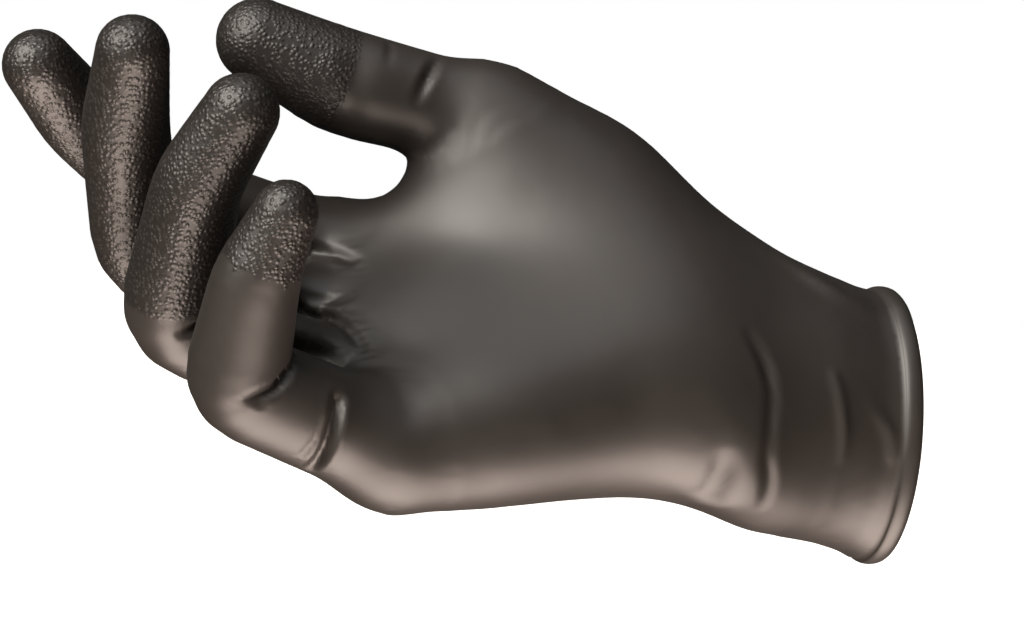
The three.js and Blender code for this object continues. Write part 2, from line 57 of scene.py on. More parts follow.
# Knuckle in shares of the palm; spread, turn and bends in degrees; bones as shares of the length;
# radii as shares of the width; grainFrom is where the textured tip begins, mm from the knuckle
fingers = [
    {"length": 87.8, "width": 18.4, "knuckle": (-1, 0.03, 0.293), "spread": -1.5, "turn": 2,
     "bends": (20, 26, 9), "bones": (0.523, 0.295, 0.182),
     "radii": (0.51, 0.5, 0.475, 0.395), "grainFrom": 44},
    {"length": 99, "width": 18.6, "knuckle": (-1.006, 0.1, 0.057), "spread": -4.6, "turn": 11,
     "bends": (21, 60, 10), "bones": (0.504, 0.32, 0.176),
     "radii": (0.5, 0.505, 0.475, 0.39), "grainFrom": 49},
    {"length": 96, "width": 18.6, "knuckle": (-0.967, 0.033, -0.175), "spread": -5.6, "turn": 15,
     "bends": (23, 73, 19), "bones": (0.491, 0.327, 0.182),
     "radii": (0.52, 0.57, 0.475, 0.405), "grainFrom": 51},
    {"length": 75.5, "width": 18.4, "knuckle": (-0.929, -0.133, -0.401), "spread": -10.2, "turn": 20,
     "bends": (28, 70, 13), "bones": (0.504, 0.301, 0.195),
     "radii": (0.62, 0.57, 0.47, 0.345), "grainFrom": 61},
]
thumb = {"root": (-0.226, -0.34, 0.295), "dips": (19.7, 11.3, 16.9), "turns": (24.3, 0.8, 13.2),
         "bones": (0.464, 0.331, 0.203), "radii": (0.5, 0.55, 0.43), "grainFrom": 33}

# Bulk of the palm: from, to (a place or a knuckle's number, 4 for the thumb), and both radii as shares
# of the palm's thickness
palmBulk = [
    ((-0.24, 0, 0.143), 0, 0.6, 0.38),
    ((-0.24, 0.03, 0.036), 1, 0.6, 0.41),
    ((-0.24, 0, -0.071), 2, 0.6, 0.41),
    ((-0.24, -0.03, -0.125), 3, 0.55, 0.39),
    ((-0.29, -0.17, -0.17), (-0.71, -0.2, -0.34), 0.46, 0.39),
    ((-0.14, -0.2, 0.2), (-0.405, -0.37, 0.357), 0.47, 0.53),
    ((-0.405, -0.37, 0.357), 4, 0.53, 0.31),
    ((-0.5, -0.52, 0.405), (-0.62, -0.74, 0.46), 0.47, 0.36),
    ((-0.357, -0.3, 0.167), (-0.655, -0.3, 0.262), 0.47, 0.43),
    ((-0.3, -0.2, 0), (-0.8, -0.12, -0.04), 0.5, 0.42),
    ((-0.69, -0.07, 0.298), (-0.665, -0.66, 0.42), 0.27, 0.27),
    ((-0.85, -0.35, 0.315), (-0.8, -0.57, 0.323), 0.02, 0.01),
]

# Cuff from the rim inwards: along and drift as shares of the cuff's length and the wrist's offset,
# breadth and depth in mm, turn as a share of the roll
wristWide = gloveForm["wristBreadth"]
wristDeep = gloveForm["wristDepth"]
cuffSections = [
    (0, 0, gloveForm["cuffBreadth"], gloveForm["cuffDepth"], 0.11),
    (0.5, 0.36, 0.89 * wristWide, 1.02 * wristDeep, 0.4),
    (1.02, 0.56, wristWide, wristDeep, 0.84),
    (1.48, 0.94, 0.96 * wristWide, 0.83 * wristDeep, 1),
    (1.98, 1.2, 0.7 * wristWide, 0.48 * wristDeep, 1),
]

# Folds: half width and depth in mm (below zero lifts the film), shoulder (how much the film puffs up
# beside the fold), and the fold's line in shares of the palm, each place with its share of the depth
folds = [
    # under the index and middle fingers
    (1.6, 1.2, 0.25, [(-1.125, -0.277, 0.194, 1), (-1.08, -0.29, 0.169, 1), (-1.035, -0.324, 0.131, 0.6),
                      (-1.014, -0.345, 0.109, 0)]),
    (1.2, 0.5, 0, [(-1.16, -0.3, 0.02, 0.8), (-1.11, -0.324, 0.004, 1), (-1.054, -0.378, -0.012, 0)]),
    (1.4, 1.6, 0.15, [(-1.16, -0.26, 0, 1), (-1.143, -0.23, -0.016, 1), (-1.104, -0.24, -0.032, 1),
                      (-1.067, -0.363, -0.108, 0.7), (-1.029, -0.402, -0.169, 0.4),
                      (-1.009, -0.41, -0.209, 0)]),
    # the deep dent under the ring finger
    (2.2, 2.8, 0.35, [(-1.18, -0.46, -0.2, 1), (-1.155, -0.429, -0.203, 1), (-1.117, -0.398, -0.203, 0.9),
                      (-1.083, -0.378, -0.229, 0.2)]),
    # the little finger's root: sharp crease and the finer one beside it
    (1.4, 2.6, 0.35, [(-1.104, -0.7, -0.44, 0.6), (-1.109, -0.618, -0.475, 1), (-1.116, -0.505, -0.5, 1),
                      (-1.127, -0.386, -0.517, 0.8), (-1.148, -0.223, -0.51, 0)]),
    (1.1, 0.7, 0.2, [(-1.137, -0.634, -0.483, 0.4), (-1.141, -0.573, -0.501, 1),
                     (-1.158, -0.482, -0.518, 0.8), (-1.172, -0.405, -0.526, 0)]),
    # bends of the little and ring fingers
    (1.2, 1.5, 0.25, [(-1.323, -0.861, -0.503, 0.1), (-1.289, -0.865, -0.486, 0.8), (-1.256, -0.87, -0.46, 1),
                      (-1.236, -0.886, -0.435, 0.8), (-1.228, -0.908, -0.401, 0.2)]),
    (0.8, 0.5, 0, [(-1.303, -0.82, -0.506, 0), (-1.285, -0.818, -0.496, 1), (-1.266, -0.815, -0.486, 0)]),
    (1.3, 1.6, 0.4, [(-1.465, -0.719, -0.26, 0.3), (-1.427, -0.745, -0.245, 1), (-1.4, -0.7, -0.2, 1)]),
    # slack film across the palm on the little finger's side
    (3.4, 0.45, 0, [(-0.927, -0.533, -0.324, 0.3), (-0.929, -0.557, -0.407, 1),
                    (-0.931, -0.513, -0.465, 0.4)]),
    (3.5, 0.4, 0, [(-0.964, -0.497, -0.118, 0.4), (-0.917, -0.526, -0.215, 1),
                   (-0.898, -0.545, -0.309, 0.6)]),
    # thumb: crease at its root, fine one beside it, hollow where the textured tip starts
    (1.3, 1.1, 0.3, [(-0.85, -1.273, 0.54, 0.2), (-0.885, -1.257, 0.468, 1), (-0.906, -1.193, 0.424, 0.3)]),
    (1.0, 0.4, 0, [(-0.975, -1.381, 0.545, 1), (-0.982, -1.383, 0.48, 0.3)]),
    (3.0, 0.8, 0, [(-1.055, -1.438, 0.511, 0.3), (-1.065, -1.357, 0.431, 1), (-1.071, -1.145, 0.385, 1),
                   (-1.078, -0.836, 0.409, 0.4)]),
    # wrist: hollow, swell between the folds, the long S-shaped fold
    (3.2, 1.4, 0.2, [(-0.13, -0.34, -0.381, 0.3), (-0.127, -0.171, -0.409, 1), (-0.138, 0.013, -0.42, 0.8)]),
    (8.0, -1.5, 0, [(-0.08, -0.3, -0.38, 1), (-0.08, 0.05, -0.41, 1)]),
    (1.8, 0.9, 0.3, [(-0.074, -0.698, -0.139, 0.3), (-0.035, -0.578, -0.196, 1), (-0.018, -0.484, -0.25, 0.8),
                     (-0.017, -0.378, -0.318, 1), (-0.017, -0.241, -0.373, 1), (-0.001, -0.072, -0.402, 0.8),
                     (0.001, 0.109, -0.428, 0.2)]),
    # cuff ridges
    (1.5, -0.8, 0, [(0.169, -0.467, -0.169, 0.5), (0.186, -0.376, -0.218, 1), (0.199, -0.234, -0.272, 1),
                    (0.201, -0.101, -0.313, 0.3)]),
    (1.8, -0.7, 0, [(0.27, -0.289, -0.197, 0.3), (0.325, -0.14, -0.231, 1), (0.34, 0.0, -0.262, 0.6)]),
    (2.6, -1.1, 0, [(0.089, -0.621, 0.167, 0.3), (0.154, -0.61, 0.118, 1), (0.232, -0.577, 0.084, 0.8),
                    (0.33, -0.441, 0.087, 0.2)]),
]


def turnAbout(axis, degrees):
    # Turning matrix about X, Y or Z
    c, s = np.cos(np.radians(degrees)), np.sin(np.radians(degrees))
    matrix = np.eye(3)
    i, j = [(1, 2), (2, 0), (0, 1)][axis]
    matrix[i, i] = matrix[j, j] = c
    matrix[i, j], matrix[j, i] = -s, s
    return matrix


palmTurn = (turnAbout(0, -gloveForm["roll"]) @ turnAbout(1, -gloveForm["wristTilt"])
            @ turnAbout(2, gloveForm["wristBend"]))
palmShift = np.array([-gloveForm["cuffLength"], -gloveForm["wristSetback"], gloveForm["wristRise"]])
palmSize = np.array([gloveForm["palmLength"], gloveForm["palmThickness"], gloveForm["palmBreadth"]])


def palmPlace(share):
    # Place in the glove from shares of the palm: scaled to the palm's size, turned and moved to the wrist
    return (np.asarray(share, float) * palmSize) @ palmTurn.T + palmShift


def fingerJoints(row):
    # Each joint lies one bone past the last, along cos(bend) ahead + sin(bend) inward, the bends adding up
    spread, turn = np.radians(row["spread"]), np.radians(row["turn"])
    ahead = np.array([-np.cos(spread), 0, np.sin(spread)])
    side = np.array([np.sin(spread), 0, np.cos(spread)])
    inward = np.array([0, -np.cos(turn), 0]) + side * np.sin(turn)
    bends = np.cumsum(np.radians(row["bends"]))[:, None]
    steps = np.array(row["bones"])[:, None] * row["length"] * (np.cos(bends) * ahead + np.sin(bends) * inward)
    joints = np.array(row["knuckle"]) * palmSize + np.vstack([np.zeros(3), np.cumsum(steps, axis=0)])
    return joints @ palmTurn.T + palmShift


def thumbJoints():
    # Each bone dips by one angle towards the palm and turns by another away from the fingers
    dips, turns = np.radians(thumb["dips"]), np.radians(thumb["turns"])
    ways = np.stack([-np.cos(dips) * np.cos(turns), -np.sin(dips), np.cos(dips) * np.sin(turns)], 1)
    steps = np.array(thumb["bones"])[:, None] * gloveForm["thumbLength"] * ways
    joints = np.array(thumb["root"]) * palmSize + np.vstack([np.zeros(3), np.cumsum(steps, axis=0)])
    return joints @ palmTurn.T + palmShift


def roundedLine(joints, radii, share=0.24, steps=3):
    # Each corner becomes a parabola: (1-t)^2 start + 2t(1-t) corner + t^2 end; the radius goes the same way
    line = [np.append(joints[0], radii[0])]
    knots = np.column_stack([joints, radii])
    t = np.linspace(0, 1, steps + 1)[:, None]
    for before, corner, after in zip(knots[:-2], knots[1:-1], knots[2:]):
        toBefore = np.linalg.norm(corner[:3] - before[:3])
        toAfter = np.linalg.norm(after[:3] - corner[:3])
        reach = share * min(toBefore, toAfter)
        start = corner + (before - corner) * reach / toBefore
        end = corner + (after - corner) * reach / toAfter
        line.extend((1 - t) ** 2 * start + 2 * t * (1 - t) * corner + t * t * end)
    line.append(knots[-1])
    return np.array(line)


def barDistance(points, a, b, radiusA=0.0, radiusB=0.0):
    # Distance to the nearest point of the core from a to b, less the radius there
    span = b - a
    off = points - a
    t = np.clip(off @ span / (span @ span), 0, 1)
    off -= t[:, None] * span
    return np.sqrt(np.einsum("ij,ij->i", off, off)) - radiusA - t * (radiusB - radiusA)


def smoothLesser(p, q, reach):
    # The lesser of two distances, less h^2 reach / 4 where they differ by under the reach
    h = np.maximum(reach - np.abs(p - q), 0) / reach
    return np.minimum(p, q) - h * h * reach / 4


def smoothGreater(p, q, reach):
    # The same turned over, for the greater of two
    return -smoothLesser(-p, -q, reach)


def smoothThrough(places, values, x):
    # Cubic through the rows: each end of a piece has the slope between its neighbours
    lower = np.maximum(np.arange(len(places)) - 1, 0)
    upper = np.minimum(np.arange(len(places)) + 1, len(places) - 1)
    slopes = (values[upper] - values[lower]) / (places[upper] - places[lower])
    x = np.clip(x, places[0], places[-1])
    i = np.clip(np.searchsorted(places, x, side="left") - 1, 0, len(places) - 2)
    width = places[i + 1] - places[i]
    t = (x - places[i]) / width
    s = 1 - t
    return (s * s * (1 + 2 * t) * values[i] + t * t * (3 - 2 * t) * values[i + 1]
            + t * s * s * width * slopes[i] - t * t * s * width * slopes[i + 1])


cuffTable = np.array(cuffSections)
cuffPlaces = cuffTable[:, 0] * gloveForm["cuffLength"]
cuffTurns = np.radians(cuffTable[:, 4] * gloveForm["roll"])
wideSquare, deepSquare = cuffTable[:, 2] ** 2 / 4, cuffTable[:, 3] ** 2 / 4
cuffSpread = {
    "y": -cuffTable[:, 1] * gloveForm["wristSetback"],
    "z": cuffTable[:, 1] * gloveForm["wristRise"],
    "yy": wideSquare * np.sin(cuffTurns) ** 2 + deepSquare * np.cos(cuffTurns) ** 2,
    "zz": wideSquare * np.cos(cuffTurns) ** 2 + deepSquare * np.sin(cuffTurns) ** 2,
    "yz": (wideSquare - deepSquare) * np.cos(cuffTurns) * np.sin(cuffTurns),
}


def cuffDistance(points):
    # How far a point lies outside the turned ellipse of its section: (ratio - 1) times the mean radius
    at = {key: smoothThrough(cuffPlaces, values, -points[:, 0]) for key, values in cuffSpread.items()}
    dy, dz = points[:, 1] - at["y"], points[:, 2] - at["z"]
    area = at["yy"] * at["zz"] - at["yz"] ** 2
    square = (at["zz"] * dy * dy - 2 * at["yz"] * dy * dz + at["yy"] * dz * dz) / area
    return np.maximum((np.sqrt(np.maximum(square, 0)) - 1) * area ** 0.25, -points[:, 0] - cuffPlaces[-1])


fingerLines = [roundedLine(fingerJoints(row), np.array(row["radii"]) * row["width"]) for row in fingers]
fingerLines.append(roundedLine(thumbJoints()[1:], np.array(thumb["radii"]) * gloveForm["thumbWidth"]))
knuckles = [line[0, :3] for line in fingerLines]
palmBars = [(palmPlace(start), knuckles[end] if isinstance(end, int) else palmPlace(end),
             startRadius * gloveForm["palmThickness"], endRadius * gloveForm["palmThickness"])
            for start, end, startRadius, endRadius in palmBulk]


def nearestOn(line, points):
    # Distance to a line of straight pieces, and its fourth value carried along to the nearest place
    away, value = np.full(len(points), np.inf), np.zeros(len(points))
    for a, b in zip(line[:-1], line[1:]):
        span = b[:3] - a[:3]
        off = points - a[:3]
        t = np.clip(off @ span / (span @ span), 0, 1)
        distance = np.linalg.norm(off - t[:, None] * span, axis=1)
        closer = distance < away
        away[closer] = distance[closer]
        value[closer] = (a[3] + t * (b[3] - a[3]))[closer]
    return away, value


def drapedLine(line, spacing=1.5):
    # The fold's line carried smoothly through its places and laid on the film by a few Newton steps
    knots = np.column_stack([palmPlace(np.array(line)[:, :3]), np.array(line)[:, 3]])
    gone = np.append(0, np.cumsum(np.linalg.norm(np.diff(knots[:, :3], axis=0), axis=1)))
    at = np.linspace(0, gone[-1], max(int(gone[-1] / spacing), 2) + 1)
    draped = np.stack([smoothThrough(gone, knots[:, i], at) for i in range(4)], 1)
    for _ in range(5):
        slope = filmSlope(draped[:, :3])
        move = -filmField(draped[:, :3]) / np.maximum((slope ** 2).sum(1), 0.25)
        draped[:, :3] += np.clip(move, -1, 1)[:, None] * slope
    return draped


def laidOn(line, points, outward):
    # Each place of the line moves along the film's direction, at the nearest film point, into its plane
    near = ((line[:, None, :3] - points[None]) ** 2).sum(2).argmin(1)
    gap = ((points[near] - line[:, :3]) * outward[near]).sum(1)
    return np.column_stack([line[:, :3] + gap[:, None] * outward[near], line[:, 3]])


def foldDepth(points, foldLines):
    # Sum of bell curves exp(-a^2) round the fold lines, less a raised shoulder a^2 exp(-0.7 a^2) each side,
    # and a low bell curve that lifts the film towards the bead
    total = -gloveForm["rimLift"] * np.exp(-(points[:, 0] / gloveForm["rimLiftReach"]) ** 2)
    for width, depth, shoulder, line in foldLines:
        low, high = line.min(0)[:3] - 3.5 * width - 1, line.max(0)[:3] + 3.5 * width + 1
        near = np.flatnonzero(((points > low) & (points < high)).all(1))
        if len(near) == 0:
            continue
        away, share = nearestOn(line, points[near])
        square = (away / width) ** 2
        total[near] += depth * share * (np.exp(-square) - shoulder * square * np.exp(-0.7 * square))
    return total


def fingerDistances(points):
    # Distance to each finger's and the thumb's surface
    return [np.min([barDistance(points, a[:3], b[:3], a[3], b[3])
                    for a, b in zip(line[:-1], line[1:])], axis=0)
            for line in fingerLines]


def palmAndFingers(points):
    # Palm bars and cuff melted together, and the fingers kept apart where two come close
    body = None
    for a, b, radiusA, radiusB in palmBars:
        distance = barDistance(points, a, b, radiusA, radiusB)
        body = distance if body is None else smoothLesser(body, distance, gloveForm["palmBlend"])
    cuff = np.flatnonzero(points[:, 0] > -cuffPlaces[-1] - gloveForm["cuffBlend"])
    body[cuff] = smoothLesser(body[cuff], cuffDistance(points[cuff]), gloveForm["cuffBlend"])
    near, following = np.partition(np.array(fingerDistances(points)), 1, axis=0)[:2]
    return body, smoothGreater(near, (gloveForm["fingerGap"] - (following - near)) / 2, gloveForm["gapBlend"])


def filmField(points):
    # About the signed distance to the outer face, without its folds
    return smoothLesser(*palmAndFingers(points), gloveForm["fingerBlend"])


def filmSlope(points, probe=0.2):
    # Central differences along X, Y and Z
    steps = probe * np.eye(3)
    return np.stack([filmField(points + step) - filmField(points - step) for step in steps], 1) / (2 * probe)


def clearDoubts(values):
    # Where two inner corners meet only across a square or a cell, the shallower one goes outside
    flat = values.reshape(-1)
    ids = np.arange(values.size).reshape(values.shape)
    changed = True
    while changed:
        changed = False
        for axis in range(3):
            slabs = np.moveaxis(ids, axis, 0)
            a, b, c, d = slabs[:, :-1, :-1], slabs[:, 1:, :-1], slabs[:, 1:, 1:], slabs[:, :-1, 1:]
            inside = flat < 0
            crossed = (inside[a] == inside[c]) & (inside[b] == inside[d]) & (inside[a] != inside[b])
            if not crossed.any():
                continue
            a, b, c, d = a[crossed], b[crossed], c[crossed], d[crossed]
            p = np.where(inside[a], a, b)
            q = np.where(inside[a], c, d)
            flat[np.where(flat[p] > flat[q], p, q)] = 0.05
            changed = True
        corner = {(i, j, k): ids[i:ids.shape[0] - 1 + i, j:ids.shape[1] - 1 + j, k:ids.shape[2] - 1 + k]
                  for i in (0, 1) for j in (0, 1) for k in (0, 1)}
        inside = flat < 0
        count = sum(inside[c].astype(np.int8) for c in corner.values())
        for i, j, k in [(0, 0, 0), (0, 0, 1), (0, 1, 0), (0, 1, 1)]:
            p, q = corner[i, j, k], corner[1 - i, 1 - j, 1 - k]
            alone = (count == 2) & inside[p] & inside[q]
            if alone.any():
                p, q = p[alone], q[alone]
                flat[np.where(flat[p] > flat[q], p, q)] = 0.05
                changed = True


def surfaceNet(step):
    # One point in each grid cell that the surface crosses, at the mean of its crossings, joined into a
    # quad round each crossed grid edge; the last layer of cells is centred on the rim's plane
    # The grid reaches past every bar, finger and section of the cuff
    ends = np.array([bar[k] + s * (bar[2 + k] + 2 * step + 4)
                     for bar in palmBars for k in (0, 1) for s in (-1, 1)]
                    + [p[:3] + s * (p[3] + 2 * step + 2)
                       for line in fingerLines for p in line for s in (-1, 1)])
    aside = max(max(row[2:4]) for row in cuffSections) / 2 + 2 * step + 4
    ends = np.vstack([ends, [0, -aside, -aside], [0, aside, aside]])
    low, high = ends.min(0), ends.max(0)
    xs = step / 2 - step * np.arange(int(np.ceil(-low[0] / step)) + 1, -1, -1)
    ys, zs = np.arange(low[1], high[1] + step, step), np.arange(low[2], high[2] + step, step)
    grid = np.stack(np.meshgrid(np.minimum(xs, -step / 2), ys, zs, indexing="ij"), -1).reshape(-1, 3)
    values = filmField(grid).reshape(len(xs), len(ys), len(zs))
    clearDoubts(values)
    shape = np.array(values.shape) - 1
    corners = np.array([(i, j, k) for i in (0, 1) for j in (0, 1) for k in (0, 1)])
    count = sum((values[i:shape[0] + i, j:shape[1] + j, k:shape[2] + k] < 0).astype(np.int8)
                for i, j, k in corners)
    crossed = (count > 0) & (count < 8)
    cells = np.argwhere(crossed)
    ids = np.full(crossed.shape, -1)
    ids[crossed] = np.arange(len(cells))
    total, hits = np.zeros((len(cells), 3)), np.zeros(len(cells))
    for p, q in [(p, q) for p in corners for q in corners if (q - p).sum() == 1 and (q >= p).all()]:
        start, end = values[tuple((cells + p).T)], values[tuple((cells + q).T)]
        change = (start < 0) != (end < 0)
        t = start / np.where(change, start - end, 1)
        total[change] += (p + t[:, None] * (q - p))[change]
        hits[change] += 1
    points = np.array([xs[0], ys[0], zs[0]]) + (cells + total / hits[:, None]) * step
    onRim = cells[:, 0] == shape[0] - 1
    points[onRim, 0] = 0
    quads = []
    for axis, u, v in [(0, 1, 2), (1, 2, 0), (2, 0, 1)]:
        inside = np.take(values, range(values.shape[axis] - 1), axis) < 0
        edges = np.argwhere(inside != (np.take(values, range(1, values.shape[axis]), axis) < 0))
        fits = (edges[:, [u, v]] > 0).all(1) & (edges[:, u] < shape[u]) & (edges[:, v] < shape[v])
        edges = edges[fits]
        ring = []
        for backU, backV in [(1, 1), (0, 1), (0, 0), (1, 0)]:
            at = edges.copy()
            at[:, u] -= backU
            at[:, v] -= backV
            ring.append(ids[tuple(at.T)])
        ring = np.stack(ring, 1)
        outwards = ~inside[tuple(edges.T)]
        ring[outwards] = ring[outwards][:, ::-1]
        quads.append(ring)
    return points, np.concatenate(quads), onRim


def settled(points, onRim, step):
    # Each point slides along the slope until the field there is zero; rim points stay in the rim's plane
    for _ in range(gloveForm["settleRounds"]):
        probed = points.copy()
        probed[:, 0] = np.minimum(probed[:, 0], -step / 2)
        slope = filmSlope(probed)
        slope[onRim, 0] = 0
        move = np.clip(-filmField(probed) / np.maximum((slope ** 2).sum(1), 0.25), -step / 2, step / 2)
        points = points + move[:, None] * slope
    return points


def evened(points, triangles, onRim):
    # Each palm point moves half way to the mean of its neighbours, again and again; fingers and rim stay
    body, apart = palmAndFingers(points)
    share = np.clip((apart - body) / 6, 0, 1) * np.clip((-3 - points[:, 0]) / 12, 0, 1)
    pairs = np.vstack([triangles, triangles[:, [1, 2, 0]], triangles[:, [2, 0, 1]]])[:, :2]
    pairs = np.unique(np.vstack([pairs, pairs[:, ::-1]]), axis=0)
    start, end = pairs.T
    number = np.bincount(start, minlength=len(points))
    smooth = points.copy()
    for _ in range(gloveForm["smoothRounds"]):
        mean = np.stack([np.bincount(start, smooth[end, i], len(points)) for i in range(3)], 1)
        mean /= number[:, None]
        smooth += 0.5 * share[:, None] * (mean - smooth)
    return smooth + gloveForm["smoothRegain"] * share[:, None] * outwardOf(smooth, triangles, onRim)


def outwardOf(points, triangles, onRim):
    # Mean direction of the faces round each point, by area; at the rim it lies in the rim's plane
    a, b, c = points[triangles].transpose(1, 0, 2)
    normal = np.cross(b - a, c - a)
    total = np.stack([np.bincount(triangles.ravel(), np.repeat(normal[:, i], 3), len(points))
                      for i in range(3)], 1)
    total[onRim, 0] = 0
    return total / np.linalg.norm(total, axis=1)[:, None]


def halvedNear(points, triangles, onRim, chosen):
    # Each chosen triangle becomes four by its sides' middles; a neighbour with one halved side becomes two
    count = len(points)
    sides = np.sort(np.stack([triangles, np.roll(triangles, -1, axis=1)], -1), -1).reshape(-1, 2)
    keys, edge = np.unique(sides[:, 0] * count + sides[:, 1], return_inverse=True)
    edge = edge.reshape(-1, 3)
    halved = np.zeros(len(keys), bool)
    halved[edge[chosen]] = True
    while (halved[edge].sum(1) == 2).any():
        halved[edge[halved[edge].sum(1) == 2]] = True
    ends = np.stack([keys // count, keys % count], 1)[halved]
    middleIds = np.full(len(keys), -1)
    middleIds[halved] = count + np.arange(len(ends))
    middles, uses = middleIds[edge], halved[edge].sum(1)
    a, b, c = triangles[uses == 3].T
    x, y, z = middles[uses == 3].T
    quarters = [np.stack(corners, 1) for corners in [(a, x, z), (x, b, y), (z, y, c), (x, y, z)]]
    one = uses == 1
    turn = (np.argmax(middles[one], 1)[:, None] + np.arange(3)) % 3
    p, q, r = np.take_along_axis(triangles[one], turn, 1).T
    middle = middles[one].max(1)
    halves = [np.stack([p, middle, r], 1), np.stack([middle, q, r], 1)]
    points = np.vstack([points, points[ends].mean(1)])
    return points, np.vstack([triangles[uses == 0], *quarters, *halves]), np.append(onRim, onRim[ends].all(1))


def beadSection(steps):
    # Arc of an ellipse, as [along X, away from the film], from the outer face round to the inner one
    halfWidth, halfHeight = gloveForm["beadWidth"] / 2, gloveForm["beadHeight"] / 2
    rise = halfHeight - gloveForm["film"]
    start = np.pi + np.arcsin(rise / halfHeight)
    angle = start + (-np.pi / 2 - start) * np.arange(1, steps + 1) / steps
    return np.stack([halfWidth * (np.cos(angle) - np.cos(start)), rise + halfHeight * np.sin(angle)], 1)


def gloveMesh():
    # Outer face, inner face one wall beneath it, and the bead's section carried round the rim between them
    step = gloveForm["gridStep"]
    points, quads, onRim = surfaceNet(step)
    triangles = np.vstack([quads[:, [0, 1, 2]], quads[:, [0, 2, 3]]])
    points = evened(settled(points, onRim, step), triangles, onRim)
    outward = outwardOf(points, triangles, onRim)
    foldLines = [(width, depth, shoulder, laidOn(drapedLine(line), points, outward))
                 for width, depth, shoulder, line in folds]
    centres = points[triangles].mean(1)
    chosen = np.zeros(len(triangles), bool)
    for width, depth, shoulder, line in foldLines:
        if width < 2:
            chosen |= nearestOn(line, centres)[0] < 2 * width + 0.5
    points, triangles, onRim = halvedNear(points, triangles, onRim, chosen & (centres[:, 0] < -2 * step))
    points = points - foldDepth(points, foldLines)[:, None] * outwardOf(points, triangles, onRim)
    outward = outwardOf(points, triangles, onRim)
    print("film:", len(points), "points")
    count = len(points)
    inner = points - gloveForm["film"] * outward
    sides = np.stack([triangles, np.roll(triangles, -1, axis=1)], -1).reshape(-1, 2)
    keys = sides.min(1) * count + sides.max(1)
    _, first, uses = np.unique(keys, return_index=True, return_counts=True)
    rim = sides[first[uses == 1]]
    rimPoints = np.unique(rim)
    section = beadSection(gloveForm["beadSteps"])
    bead = points[rimPoints][:, None] + outward[rimPoints][:, None] * section[:, 1][None, :, None]
    bead[:, :, 0] += section[:, 0]
    beadIds = 2 * count + np.arange(bead.shape[0] * bead.shape[1]).reshape(bead.shape[:2])
    strips = np.column_stack([rimPoints, beadIds, rimPoints + count])
    rowOf = np.zeros(count, int)
    rowOf[rimPoints] = np.arange(len(rimPoints))
    left, right = strips[rowOf[rim[:, 0]]], strips[rowOf[rim[:, 1]]]
    corners = np.stack([right[:, :-1], left[:, :-1], left[:, 1:], right[:, 1:]], -1).reshape(-1, 4)
    vertices = np.vstack([points, inner, bead.reshape(-1, 3)])
    faces = np.vstack([triangles, triangles[:, ::-1] + count, corners[:, [0, 1, 2]], corners[:, [0, 2, 3]]])
    return vertices, faces


def grainReach(vertices):
    # How far, in mm, a point lies past the start of the nearest finger's textured tip; -20 on the palm
    best = np.full(len(vertices), np.inf)
    reach = np.full(len(vertices), -20.0)
    starts = [row["grainFrom"] for row in fingers] + [thumb["grainFrom"]]
    for line, start in zip(fingerLines, starts):
        gone = 0.0
        for a, b in zip(line[:-1], line[1:]):
            span = b[:3] - a[:3]
            length = np.linalg.norm(span)
            t = np.clip((vertices - a[:3]) @ span / length ** 2, 0, 1)
            away = np.linalg.norm(vertices - a[:3] - t[:, None] * span, axis=1) - a[3] - t * (b[3] - a[3])
            closer = away < best
            best[closer] = away[closer]
            reach[closer] = gone + t[closer] * length - start
            gone += length
    return np.clip(reach, -20, 60)


def newPiece(name, vertices, faces):
    # One mesh from arrays, in metres, every face smooth
    mesh = bpy.data.meshes.new(name)
    mesh.vertices.add(len(vertices))
    mesh.vertices.foreach_set("co", (vertices / 1000).astype(np.float32).ravel())
    mesh.loops.add(faces.size)
    mesh.loops.foreach_set("vertex_index", faces.astype(np.int32).ravel())
    mesh.polygons.add(len(faces))
    mesh.polygons.foreach_set("loop_start", np.arange(0, faces.size, faces.shape[1], dtype=np.int32))
    mesh.polygons.foreach_set("use_smooth", np.ones(len(faces), bool))
    mesh.update(calc_edges=True)
    mesh.validate()
    piece = bpy.data.objects.new(name, mesh)
    bpy.context.scene.collection.objects.link(piece)
    return piece


vertices, faces = gloveMesh()
gloveFilm = newPiece("gloveFilm", vertices, faces)
reachLayer = gloveFilm.data.attributes.new("grainReach", "FLOAT", "POINT")
reachLayer.data.foreach_set("value", grainReach(vertices).astype(np.float32))
print("glove:", len(vertices), "points,", len(faces), "triangles")


def linearColour(hexText):
    # sRGB hex to linear light, with alpha 1
    shares = np.array([int(hexText[i:i + 2], 16) for i in (0, 2, 4)]) / 255
    linear = np.where(shares <= 0.04045, shares / 12.92, ((shares + 0.055) / 1.055) ** 2.4)
    return (*linear.tolist(), 1.0)


def addNode(tree, kind, settings=None, links=None):
    # A node with its settings (sockets by number or capital name, properties by small name) and its links
    node = tree.nodes.new(kind)
    for key, value in (settings or {}).items():
        if isinstance(key, int) or key[0].isupper():
            node.inputs[key].default_value = value
        else:
            setattr(node, key, value)
    for key, source in (links or {}).items():
        tree.links.new(source, node.inputs[key])
    return node


# Dipped nitrile rubber, chlorinated so that it is slick and satin: a dark warm grey with a broad soft
# gloss, smooth on the palm and pressed with a leather-like grain on the fingertips
filmLook = {
    "deep": "211e1c", "pale": "2a2623",        # the film where it lies loose and where it is stretched
    "roughness": 0.46, "ior": 1.52,            # nitrile rubber
    "grainSize": 0.95, "grainHeight": 0.16,    # mm
    "finenessSize": 0.4, "finenessHeight": 0.006,   # dip's orange peel, drawn coarser than it is
    "rippleSize": 11.0, "rippleHeight": 0.12,
    "swayingSize": 2.5, "swaying": 0.5,        # mm, how the rows of grain wander
    "cloudSize": 28.0,
    # painted shade: the colour that the grain's furrows are darkened towards, and how far
    "furrowShade": "14110f", "furrowShadeShare": 0.8,
}


